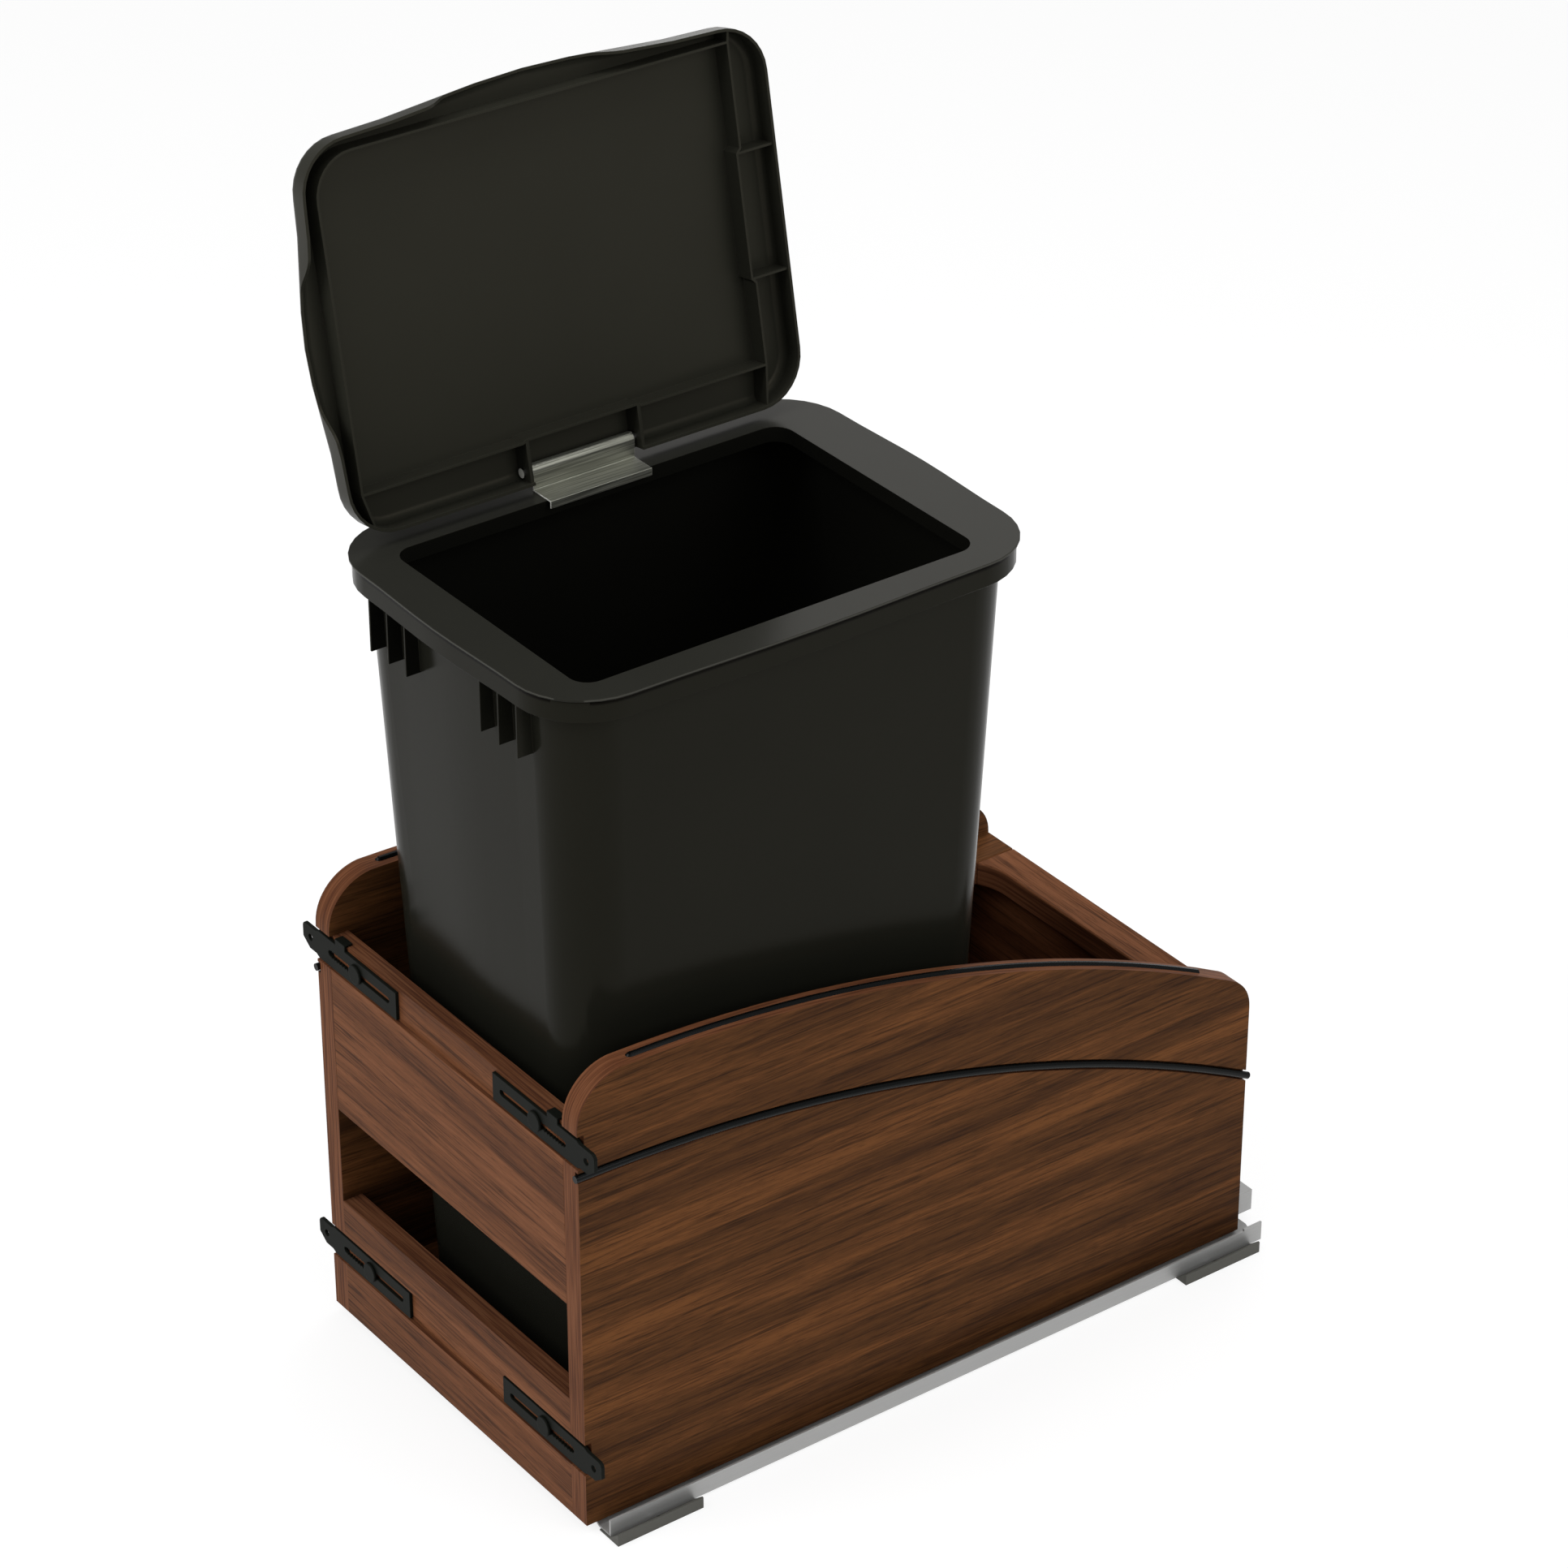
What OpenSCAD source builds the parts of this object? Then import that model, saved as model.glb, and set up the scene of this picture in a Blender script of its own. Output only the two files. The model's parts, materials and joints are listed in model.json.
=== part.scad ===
// Pull out trash cabinet insert: a walnut ply frame on two full extension
// floor slides carries one tall lidded bin and four brackets for a cabinet door.
// Origin: cabinet floor, centre of the four floor screws.
// X runs across the frame, Y from the front to the rear, Z up.

/* [Frame] */
// Width over the two side panels
frame_w = 305; // [290:1:340]
// Depth of the frame from front to rear
frame_d = 555; // [550:1:620]
// Height of the side panels at their highest point
side_h = 345.2; // [335:0.1:380]
// Thickness of the side panels
side_t = 16.5; // [15:0.5:18]
// Radius of the long crown along the side panels' top edge
crown_r = 1090; // [1000:10:1400]
// Place of the crown's highest point behind the front edge
crown_y = 20; // [0:1:40]
// Radius of the side panels' front top corner
front_corner_r = 37; // [25:1:45]
// Radius of the side panels' rear top corner
rear_corner_r = 30; // [20:1:40]
// Thickness of the front panels
front_t = 15; // [12:0.5:18]
// Height of the lower front panel
lower_panel_h = 93.5; // [85:0.5:110]
// Height of the window between the front panels
window_h = 75; // [50:1:90]
// Height of the upper front panel
upper_panel_h = 137; // [120:1:145]
// Thickness of the rear panel
rear_t = 15; // [12:0.5:18]
// Thickness of the floor board
floor_t = 15; // [12:0.5:18]

/* [Rear ring] */
// Height of the ring's top above the frame's underside
ring_top = 186.6; // [170:0.1:200]
// Thickness of the ring
ring_t = 19; // [16:0.5:22]
// Width of the rear rail
ring_rail_w = 26.4; // [20:0.1:32]
// Radius of the ring opening's rear corners
ring_r = 50; // [35:1:60]
// Width of the corner blocks, seen from above
block_w = 29; // [20:1:40]

/* [Edge rail and side rod] */
// Width of the black rail in the top edge
rail_w = 5.4; // [4:0.1:7]
// How far the rail stands proud of the wood
rail_proud = 1.8; // [1:0.1:2.5]
// Depth of the rail's groove
rail_groove_d = 3; // [2:0.1:4]
// Start of the rail behind the front edge
rail_start = 46; // [42:1:60]
// End of the rail before the rear edge
rail_end_gap = 42; // [36:1:60]
// Diameter of the side rod
rod_dia = 5.2; // [4:0.1:6]
// Width of the rod's groove in the side panel
rod_groove_w = 7.6; // [7:0.1:9]
// Height of the rod's highest point above the frame's underside
rod_top = 274.5; // [240:0.5:278]
// Radius of the rod's sweep
rod_sweep_r = 1180; // [1100:10:1400]
// How far the rod's ends stand out of the panel's edges
rod_overhang = 2; // [1:0.5:4]

/* [Door brackets] */
// Height of the bracket plate
bracket_h = 21; // [18:0.5:22]
// Thickness of the bracket plate
bracket_t = 2.5; // [2:0.1:2.8]
// Length of the bracket plate
bracket_l = 114; // [100:1:120]
// How far the bracket stands out past the side panel
bracket_out = 18; // [14:1:24]
// Height of the slot along the bracket
slot_h = 4.4; // [4.2:0.1:5]
// Diameter of the door screw hole
door_hole_d = 5; // [4:0.1:6]
// Diameter of the bracket screw's head
disc_d = 14; // [11:0.5:16]
// Height of the lower channel above the frame's underside
channel_z = 40.3; // [34:0.1:50]
// Height of both bracket channels
channel_h = 25.2; // [24:0.1:28]
// Depth of the bracket channels in the front panels
channel_d = 3; // [3:0.1:4]
// Depth of the bracket notches in the side panels
notch_d = 5; // [4:0.1:7]

/* [Slides] */
// Height of the frame's underside above the cabinet floor
frame_lift = 6.8; // [6.8:0.1:9]
// Thickness of the slide sheet
sheet_t = 1.5; // [1.2:0.1:1.5]
// Gap between a side panel and the rail's outer wall
wall_gap = 11; // [9:0.5:14]
// Height of the rail's outer wall
wall_h = 14.3; // [12:0.1:18]
// Height of the rail's rear ear above the wall
ear_h = 1.7; // [1:0.1:4]
// Width of the slide members
member_w = 24; // [24:0.5:27]
// Height of the slide from its web to the floor board
member_h = 17.6; // [17.6:0.1:22]
// Diameter of the balls
ball_d = 3; // [2.6:0.1:3]
// Number of balls in a row
balls = 8; // [4:1:9]
// Travel of the frame out of the cabinet
travel = 500; // [300:10:500]
// Width of the floor feet
foot_w = 10; // [9:0.5:16]
// Height of the floor feet
foot_h = 8.4; // [7:0.1:10]
// Length of the front feet
foot_front_l = 68; // [50:1:90]
// Length of the rear feet
foot_rear_l = 67; // [50:1:90]
// Diameter of the floor screw holes
foot_hole_d = 4.4; // [3.5:0.1:5]

/* [Bin] */
// Distance that the collar reaches over each side panel
collar_past_side = 0.8; // [0:0.1:3]
// Length of the collar
collar_l = 373.8; // [350:1:390]
// Thickness of the collar
collar_t = 2; // [1.6:0.1:4]
// Width of the collar's opening
mouth_w = 211.4; // [190:1:214]
// Length of the collar's opening
mouth_l = 302.5; // [270:1:310]
// Height from the bin's foot to the collar's top
bin_h = 567.7; // [500:1:600]
// Wall of the bin
bin_wall = 2.6; // [2:0.1:3.5]
// Depth of the skirt round the rim
skirt_h = 15; // [12:0.5:24]
// Distance of the bin's body from the collar's edge at each side
body_side = 12; // [8:0.5:18]
// Distance of the bin's body from the collar's front edge
body_front = 12; // [8:0.5:18]
// Distance of the bin's body from the collar's rear edge
body_rear = 12; // [8:0.5:18]
// Taper of each side from the rim to the foot
bin_taper = 21; // [10:0.5:26]
// Distance of the collar's front edge behind the front of the frame
collar_front = 7.6; // [5:0.5:24]

/* [Lid] */
// Width of the lid from the hinge edge to the far edge
lid_w = 256; // [244:1:258]
// Length of the lid
lid_l = 351; // [335:1:355]
// Depth of the lid's skirt
lid_h = 18; // [17:0.5:24]
// Wall of the lid
lid_wall = 2; // [1.6:0.1:2.1]
// Angle of the opened lid
lid_angle = 101; // [90:1:103]
// Depth of the finger scoops in the skirt
scoop_d = 12.5; // [8:0.5:12.5]
// Diameter of the hinge pin
pin_d = 6.6; // [4:0.1:8]
// Height of the hinge pin above the collar
pin_h = 13.2; // [12.8:0.1:14]
// Length of the hinge clip
clip_l = 79; // [60:1:100]
// Thickness of the hinge clip
clip_t = 1.2; // [1:0.1:1.4]

/* [Hidden] */

// Colours as the photograph shows them
walnut = [0.36, 0.23, 0.14];
front_walnut = [0.47, 0.31, 0.21];
zinc = [0.62, 0.62, 0.61];
foot_grey = [0.38, 0.38, 0.37];
bracket_black = [0.15, 0.16, 0.15];
rod_black = [0.12, 0.15, 0.15];
charcoal = [0.18, 0.18, 0.17];
steel = [0.55, 0.56, 0.52];

// Overrun of every cut
over = 1;
// Running gap between faces that move past each other
gap = 0.3;
// Clearance round a fitted piece
fit = 0.1;
round_fn = 64;
sweep_fn = 240;

// Places of the frame's boards
half_w = frame_w / 2;
// The bin's collar spans the room between the side panels
collar_w = frame_w - 2 * side_t + 2 * collar_past_side;
side_in = half_w - side_t;
frame_z = frame_lift;
window_z = frame_z + lower_panel_h;
upper_z = window_z + window_h;
upper_top = upper_z + upper_panel_h;
ring_z = frame_z + ring_top - ring_t;
crown_z = frame_z + side_h - crown_r;
rear_in = frame_d - rear_t;

// Bracket channels
upper_channel_z = upper_top - channel_h + fit;
lower_channel_z = frame_z + channel_z;
bracket_rise = 1.4;
bracket_y = channel_d - bracket_t;
bracket_end_x = half_w + bracket_out;
bracket_in_x = bracket_end_x - bracket_l;

// Slide sections, measured across from the middle of the slide
web_z = 3.2;
member_half = member_w / 2;
slide_inset = 4.7;
slide_x = side_in - member_half - slide_inset;
wall_in = half_w + wall_gap;
wall_x = wall_in + sheet_t;
member_mid_z = web_z + member_h / 2;
member_top = web_z + member_h;
lip_w = sheet_t;
lip_t = 1.3;
race_split = 1.6;
race_h = (member_h - race_split) / 2;
race_gap = ball_d + 0.4;
core_t = 1.2;
core_half = member_half - sheet_t - race_gap;
floor_z = member_top;
floor_top = floor_z + floor_t;

// Ends of the slides along Y
foot_lip = 1.4;
foot_plate_t = 1.1;
foot_hole_in = 3.75;
foot_seat_r = 3.6;
foot_seat_z = 2;
quarter_turn = 90;
rail_front = 10;
rail_rear_over = 11;
rail_rear = frame_d + rail_rear_over;
member_gap = 4;
race_front = front_t + member_gap;
race_rear = rear_in - member_gap;
ball_pitch = 35;
cage_l = ball_pitch * balls - ball_pitch / 2;
cage_front = race_front + travel / 4 + member_gap;
cage_t = 1;
cage_web = 0.5;
stop_h = 10;
stop_w = 6;
stop_inset = 5;
ear_lead = 5;

// Floor feet
foot_front_y = 9;
foot_rear_over = 1;
foot_rear_y = frame_d - foot_rear_l + foot_rear_over;
screws_front_y = foot_front_y + foot_front_l / 2;
foot_screw_inset = 38;
screws_rear_y = foot_rear_y + foot_rear_l - foot_screw_inset;
pattern_y = (screws_front_y + screws_rear_y) / 2;
rivet_r = 1.5;
rivet_head_r = 3;
rivet_head_t = 1;
rivet_inset = 14;

// Rear hooks
hook_l = 23;
hook_h = 16.8;
hook_rise = 3.8;
hook_z = member_top + hook_rise - hook_h;
hook_out = 21;
hook_side = 2;
hook_in = member_half + hook_side;

// Screws
disc_t = 1.8;
disc_chamfer = 0.5;
screw_r = 1.7;
screw_l = 11;
screw_head_r = 3;
screw_head_t = 1.3;
screw_inset = 65.5;
screw_x = bracket_end_x - screw_inset;
slot_in_inset = 10.5;
slot_out_inset = 34;
door_hole_inset = 9.4;
end_step = 1.5;
end_r = 4;
tooth_pitch = 3.2;
lug_w = 12;
lug_inset = 6;
lug_depth = 6.5;
lug_rise = 1.8;

// Bin places
bin_y = collar_front + collar_l / 2;
bin_z = floor_top;
collar_top = bin_z + bin_h;
rim_top = collar_top - collar_t;
seam = 0.5;
collar_over = 1.5;
collar_r = 50;
collar_bow = 2.5;
mouth_front = 37.8;
mouth_r = 13.5;
mouth_lip = 9;
mouth_shift = 8;
mouth_lip_t = 1.6;
body_r = 39.5;
body_bow = 1.5;
foot_r = 34;
foot_band = 4;
fin_t = 1.6;
fin_pitch = 20.2;
fin_drop = 37.4;
fin_set = 0.6;
fin_groups = 2;
fin_group_pitch = 124.4;
fin_first_x = -82.5;
fin_count = 3;
arc_steps = 8;
bow_steps = 8;

// Lid places, measured from the pin in the closed lid
hinge_inset = 20;
hinge_x = mouth_shift - mouth_w / 2 - hinge_inset;
hinge_y = 195.4;
hinge_z = collar_top + pin_h;
lid_gap = 3;
lid_rim = lid_gap - pin_h;
lid_top = lid_rim + lid_h;
pin_fit = 0.08;
curl_in = pin_d / 2 + pin_fit;
curl_out = curl_in + clip_t;
lid_draft = 0.3;
lid_back = -(curl_out + gap + lid_wall + lid_draft);
stop_drop = 1.2;
lid_front_y = 17.2;
lid_bow = 8;
lid_r = 34;
lid_edge_r = 7;
rib_t = 1.6;
rib_recess = 1.6;
rib_inset_front = 11;
rib_inset_far = 10;
rib_inset_rear = 27;
rib_inset_hinge = 29;
rib_jog = 3;
rib_corner_r = 28;
pocket_gap = 2.5;
pocket_t = 2.5;
pin_over = 1.2;
curl_lip = 0.8;
clip_reach = 4.2;
clip_drop = 4.3;
scoop_ramp = 26;
scoop_front_from = 66;
scoop_front_to = 188;
scoop_far_from = 95;
scoop_far_to = 245;

// Outline helpers

// A rounded rectangle from (x0, y0) to (x1, y1) whose sides bow out by
// bows = [x0 side, x1 side, y0 side, y1 side]
function bowed(x0, x1, y0, y1, r, bows) = concat(
  corner(x1 - r, y0 + r, r, -90),
  [for (i = [1:bow_steps - 1]) let (t = i / bow_steps)
    [x1 + bows[1] * pow(sin(180 * t), 2), y0 + r + (y1 - y0 - 2 * r) * t]],
  corner(x1 - r, y1 - r, r, 0),
  [for (i = [1:bow_steps - 1]) let (t = i / bow_steps)
    [x1 - r - (x1 - x0 - 2 * r) * t, y1 + bows[3] * pow(sin(180 * t), 2)]],
  corner(x0 + r, y1 - r, r, 90),
  [for (i = [1:bow_steps - 1]) let (t = i / bow_steps)
    [x0 - bows[0] * pow(sin(180 * t), 2), y1 - r - (y1 - y0 - 2 * r) * t]],
  corner(x0 + r, y0 + r, r, 180),
  [for (i = [1:bow_steps - 1]) let (t = i / bow_steps)
    [x0 + r + (x1 - x0 - 2 * r) * t, y0 - bows[2] * pow(sin(180 * t), 2)]]
);
function corner(cx, cy, r, from) =
  [for (i = [0:arc_steps]) let (a = from + quarter_turn * i / arc_steps) [cx + r * cos(a), cy + r * sin(a)]];

// A ring of points at one height
function ring(outline, z) = [for (p = outline) [p[0], p[1], z]];

// A band of even width t along a path of points in the plane
function turn(a, b) = let (d = b - a, n = norm(d)) [-d[1] / n, d[0] / n];
function side_of(path, i) =
  i == 0 ? turn(path[0], path[1])
  : i == len(path) - 1 ? turn(path[i - 1], path[i])
  : let (m = turn(path[i - 1], path[i]) + turn(path[i], path[i + 1])) 2 * m / (m * m);
function band(path, t) = concat(
  [for (i = [0:len(path) - 1]) path[i] - side_of(path, i) * t / 2],
  [for (i = [len(path) - 1:-1:0]) path[i] + side_of(path, i) * t / 2]
);

// A solid skinned over rings that run from the bottom to the top
module loft(rings) {
  n = len(rings[0]);
  m = len(rings);
  low = m * n;
  high = low + 1;
  sides = [for (k = [0:m - 2]) for (i = [0:n - 1]) let (a = k * n + i, d = k * n + (i + 1) % n)
    each [[a, a + n, d + n], [a, d + n, d]]];
  caps = [for (i = [0:n - 1]) let (j = (i + 1) % n)
    each [[i, j, low], [(m - 1) * n + j, (m - 1) * n + i, high]]];
  points = [for (r = rings) each r];
  polyhedron(concat(points, [middle(rings[0]), middle(rings[m - 1])]), concat(sides, caps), convexity = 6);
}
function middle(points) = let (half = len(points) / 2)
  [(points[0][0] + points[half][0]) / 2, (points[0][1] + points[half][1]) / 2, points[0][2]];

// Turns a profile drawn in Y and Z into a solid along X
module along_x(from, length) {
  translate([from, 0, 0]) rotate([90, 0, 90]) linear_extrude(length) children();
}

// Turns a profile drawn in X and Z into a solid along Y
module along_y(from, length) {
  translate([0, from + length, 0]) rotate([90, 0, 0]) linear_extrude(length) children();
}

// Mirrors a right hand piece to the left where side is -1
module handed(side) {
  if (side > 0) children();
  else mirror([1, 0, 0]) children();
}

// An arc in the Y and Z plane swept from y_front to y_rear round a centre at
// (centre_y, centre_z); its children are drawn with the radius along X
module swept_arc(r, centre_y, centre_z, y_front, y_rear) {
  from = acos((y_rear - centre_y) / r);
  to = acos((y_front - centre_y) / r);
  translate([0, centre_y, centre_z]) rotate([90, 0, 90]) rotate([0, 0, from])
    rotate_extrude(angle = to - from, $fn = sweep_fn) children();
}

// Puts the origin at the centre of the floor screws
module placed() {
  translate([0, -pattern_y, 0]) children();
}

// Frame

module side_outline() {
  rear_c = [frame_d - rear_corner_r,
    crown_z + sqrt(pow(crown_r - rear_corner_r, 2) - pow(frame_d - rear_corner_r - crown_y, 2))];
  rear_dir = [rear_c[0] - crown_y, rear_c[1] - crown_z] / (crown_r - rear_corner_r);
  reach = 2 * rear_corner_r;
  front_c = [front_corner_r, frame_z + side_h - front_corner_r];
  difference() {
    intersection() {
      translate([0, frame_z]) square([frame_d, side_h]);
      translate([crown_y, crown_z]) circle(r = crown_r, $fn = sweep_fn);
    }
    difference() {
      translate([-over, front_c[1]]) square([front_corner_r + over, front_corner_r + over]);
      translate(front_c) circle(r = front_corner_r, $fn = round_fn);
    }
    difference() {
      polygon([rear_c, rear_c + [reach, 0], rear_c + [reach, reach], rear_c + rear_dir * reach]);
      translate(rear_c) circle(r = rear_corner_r, $fn = round_fn);
    }
  }
}

rod_lead = 10;
rod_proud = 2;
rod_y = -rod_lead;
rod_z = frame_z + rod_top - rod_sweep_r;
rail_mid = half_w - side_t / 2;
nose_r = rail_w / 2 - fit;
rail_end = frame_d - rail_end_gap;
rod_x = half_w - rod_dia / 2 + rod_proud;

module side_panel(side) {
  color(walnut) handed(side) difference() {
    along_x(side_in, side_t) side_outline();
    // Notches for the door brackets
    for (z = [upper_channel_z, lower_channel_z])
      translate([side_in - over, -over, z]) cube([side_t + 2 * over, notch_d + over, channel_h]);
    // Groove for the edge rail, with a round front end
    swept_arc(crown_r, crown_y, crown_z, rail_start, rail_end)
      translate([crown_r - rail_groove_d, rail_mid - rail_w / 2 - fit])
        square([rail_groove_d + over, rail_w + 2 * fit]);
    at_rail_start() translate([0, 0, -rail_groove_d])
      cylinder(r = nose_r + fit, h = rail_groove_d + over, $fn = round_fn);
    // Groove for the side rod
    swept_arc(rod_sweep_r, rod_y, rod_z, -rod_overhang - over, frame_d + rod_overhang + over)
      translate([rod_sweep_r - rod_groove_w / 2, rod_x - rod_dia / 2])
        square([rod_groove_w, rod_dia]);
  }
}

// The point of the crown where the edge rail starts, with Z square to the edge
module at_rail_start() {
  a = asin((rail_start - crown_y) / crown_r);
  translate([rail_mid, rail_start, crown_z + crown_r * cos(a)]) rotate([-a, 0, 0]) children();
}

module edge_rail(side) {
  bead = rail_w / 3;
  top = crown_r + rail_proud;
  bottom = crown_r - rail_groove_d;
  color(rod_black) handed(side) {
    swept_arc(crown_r, crown_y, crown_z, rail_start, rail_end - fit)
      polygon([[bottom, rail_mid - rail_w / 2], [top - bead, rail_mid - rail_w / 2],
        [top - bead / 3, rail_mid - rail_w / 3], [top, rail_mid - rail_w / 6], [top, rail_mid + rail_w / 6],
        [top - bead / 3, rail_mid + rail_w / 3], [top - bead, rail_mid + rail_w / 2],
        [bottom, rail_mid + rail_w / 2]]);
    at_rail_start() translate([0, 0, -rail_groove_d]) {
      cylinder(r = nose_r, h = rail_groove_d + rail_proud - bead, $fn = round_fn);
      translate([0, 0, rail_groove_d + rail_proud - bead])
        cylinder(r1 = nose_r, r2 = nose_r / 2, h = bead * 2 / 3, $fn = round_fn);
    }
  }
}

module side_rod(side) {
  color(rod_black) handed(side)
    swept_arc(rod_sweep_r, rod_y, rod_z, -rod_overhang, frame_d + rod_overhang)
      translate([rod_sweep_r, rod_x]) circle(r = rod_dia / 2, $fn = round_fn);
}

module screw_bores(z) {
  for (side = [-1, 1])
    translate([side * screw_x, 0, z]) rotate([-90, 0, 0])
      cylinder(r = screw_r + fit, h = screw_l + fit, $fn = round_fn);
}

upper_screw_z = upper_channel_z + bracket_rise + bracket_h / 2;
lower_screw_z = lower_channel_z + bracket_rise + bracket_h / 2;

module upper_front_panel() {
  color(front_walnut) difference() {
    translate([-side_in, 0, upper_z]) cube([2 * side_in, front_t, upper_panel_h]);
    translate([-half_w, -over, upper_channel_z]) cube([frame_w, channel_d + over, channel_h + over]);
    screw_bores(upper_screw_z);
  }
}

module lower_front_panel() {
  color(front_walnut) difference() {
    translate([-side_in, 0, frame_z]) cube([2 * side_in, front_t, lower_panel_h]);
    translate([-half_w, -over, lower_channel_z]) cube([frame_w, channel_d + over, channel_h]);
    screw_bores(lower_screw_z);
  }
}

module rear_panel() {
  notch_side = 2;
  notch_w = member_w + 2 * notch_side;
  color(walnut) difference() {
    translate([-side_in, rear_in, frame_z]) cube([2 * side_in, rear_t, ring_z - frame_z]);
    for (side = [-1, 1])
      translate([side * slide_x - notch_w / 2, rear_in - over, frame_z - over])
        cube([notch_w, rear_t + 2 * over, member_top + gap - frame_z + over]);
  }
}

module floor_board() {
  color(walnut) difference() {
    translate([-side_in, front_t, floor_z]) cube([2 * side_in, rear_in - front_t, floor_t]);
    for (p = member_screw_places)
      translate([p[0], p[1], floor_z - over]) cylinder(r = screw_r + fit, h = screw_l, $fn = round_fn);
  }
}

module ring_opening() {
  side_lip = 5;
  opening_half = side_in - side_lip;
  rear_edge = frame_d - ring_rail_w;
  translate([0, 0, ring_z - over]) linear_extrude(ring_t + 2 * over) {
    translate([-opening_half, 0]) square([2 * opening_half, rear_edge - ring_r]);
    translate([ring_r - opening_half, 0]) square([2 * (opening_half - ring_r), rear_edge]);
    for (side = [-1, 1])
      translate([side * (opening_half - ring_r), rear_edge - ring_r]) circle(r = ring_r, $fn = round_fn);
  }
}

module rear_rail() {
  inner = side_in - block_w;
  color(front_walnut) difference() {
    translate([-inner, frame_d - ring_rail_w - ring_r, ring_z])
      cube([2 * inner, ring_rail_w + ring_r, ring_t]);
    ring_opening();
  }
}

module corner_block(side) {
  lead = 10;
  run = ring_rail_w + ring_r + lead;
  color(walnut) handed(side) difference() {
    translate([side_in - block_w, frame_d - run, ring_z]) cube([block_w, run, ring_t]);
    ring_opening();
  }
}

// Door brackets

module bracket_outline() {
  neck_x = half_w - end_step;
  neck_end = neck_x + 2 * end_step;
  slot_in = bracket_in_x + slot_in_inset;
  slot_out = bracket_end_x - slot_out_inset;
  teeth_from = screw_x + disc_d / 2;
  difference() {
    union() {
      translate([bracket_in_x, 0]) square([neck_x - bracket_in_x, bracket_h]);
      polygon([[neck_x, 0], [neck_end, end_step], [bracket_end_x - 2 * end_r, end_step],
        [bracket_end_x, end_step + 1.5 * end_r], [bracket_end_x, bracket_h - end_step - end_r],
        [bracket_end_x - end_r, bracket_h - end_step], [neck_end, bracket_h - end_step],
        [neck_x, bracket_h]]);
      translate([bracket_end_x - end_r, bracket_h - end_step - end_r]) circle(r = end_r, $fn = round_fn);
    }
    translate([slot_in, bracket_h / 2 - slot_h / 2]) square([slot_out - slot_in, slot_h]);
    for (x = [slot_in, slot_out]) translate([x, bracket_h / 2]) circle(r = slot_h / 2, $fn = round_fn);
    // Teeth above and below the outer half of the slot
    for (x = [teeth_from:tooth_pitch:slot_out - tooth_pitch / 2])
      translate([x, bracket_h / 2]) polygon([[-tooth_pitch / 2, 0], [0, slot_h / 2 + tooth_pitch / 3],
        [tooth_pitch / 2, 0], [0, -slot_h / 2 - tooth_pitch / 3]]);
    translate([bracket_end_x - door_hole_inset, bracket_h / 2]) circle(r = door_hole_d / 2, $fn = round_fn);
  }
}

module door_bracket(side, z, lug) {
  lug_x = side_in - lug_w - lug_inset;
  lug_top = upper_top + lug_rise;
  color(bracket_black) handed(side) {
    translate([0, 0, z]) along_y(bracket_y, bracket_t) bracket_outline();
    // The upper brackets hook over the top of the front panel
    if (lug) {
      translate([lug_x, bracket_y, z + bracket_h - over])
        cube([lug_w, sheet_t, lug_top - z - bracket_h + over]);
      translate([lug_x, bracket_y, lug_top - sheet_t]) cube([lug_w, lug_depth, sheet_t]);
    }
  }
}

module bracket_screws() {
  color(bracket_black) for (side = [-1, 1]) for (z = [upper_screw_z, lower_screw_z])
    translate([side * screw_x, bracket_y, z]) rotate([-90, 0, 0]) {
      translate([0, 0, -disc_t])
        cylinder(r1 = disc_d / 2 - disc_chamfer, r2 = disc_d / 2, h = disc_chamfer, $fn = round_fn);
      translate([0, 0, disc_chamfer - disc_t])
        cylinder(r = disc_d / 2, h = disc_t - disc_chamfer, $fn = round_fn);
      cylinder(r = screw_r, h = screw_l - bracket_y, $fn = round_fn);
    }
}

// Slides

// The rail's section: outer wall, flange on the foot's plate, rise under the side panel and web
module rail_base_section() {
  rise_x = half_w - over;
  flange_top = foot_plate_t + sheet_t;
  polygon([[wall_x, foot_plate_t], [wall_x, wall_h], [wall_in, wall_h], [wall_in, flange_top],
    [rise_x + sheet_t / 2, flange_top], [rise_x - web_z, web_z + sheet_t],
    [slide_x - member_half, web_z + sheet_t], [slide_x - member_half, web_z],
    [rise_x - web_z - sheet_t / 2, web_z], [rise_x, foot_plate_t]]);
}

// A channel with two walls and two lips, drawn upwards from its web
module race_section() {
  for (side = [-1, 1]) {
    translate([side * (member_half - sheet_t / 2) - sheet_t / 2, 0]) square([sheet_t, race_h]);
    translate([side * (member_half - sheet_t - lip_w / 2) - lip_w / 2, race_h - lip_t])
      square([lip_w, lip_t]);
    translate([side * (member_half - sheet_t) - fit, race_h - lip_t]) square([2 * fit, lip_t]);
  }
}

module cabinet_rail(side) {
  color(zinc) handed(side) difference() {
    union() {
      along_y(rail_front, rail_rear - rail_front) rail_base_section();
      translate([slide_x, 0, web_z]) along_y(race_front, race_rear - race_front) race_section();
      // Rear ear of the outer wall
      translate([wall_in, frame_d - ear_lead, wall_h - over])
        cube([sheet_t, rail_rear_over + ear_lead, ear_h + over]);
      // Stop tab behind the side panel
      translate([half_w - stop_w - stop_inset, frame_d + over, web_z]) cube([stop_w, sheet_t, stop_h]);
    }
    for (p = rivet_places)
      translate([rivet_x, p, 0]) cylinder(r = rivet_r + fit, h = foot_h, $fn = round_fn);
  }
}

rivet_x = half_w + wall_gap / 2;
rivet_places = [foot_front_y + rivet_inset, foot_front_y + foot_front_l - rivet_inset,
  foot_rear_y + rivet_inset, foot_rear_y + foot_rear_l - rivet_inset];

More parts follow.
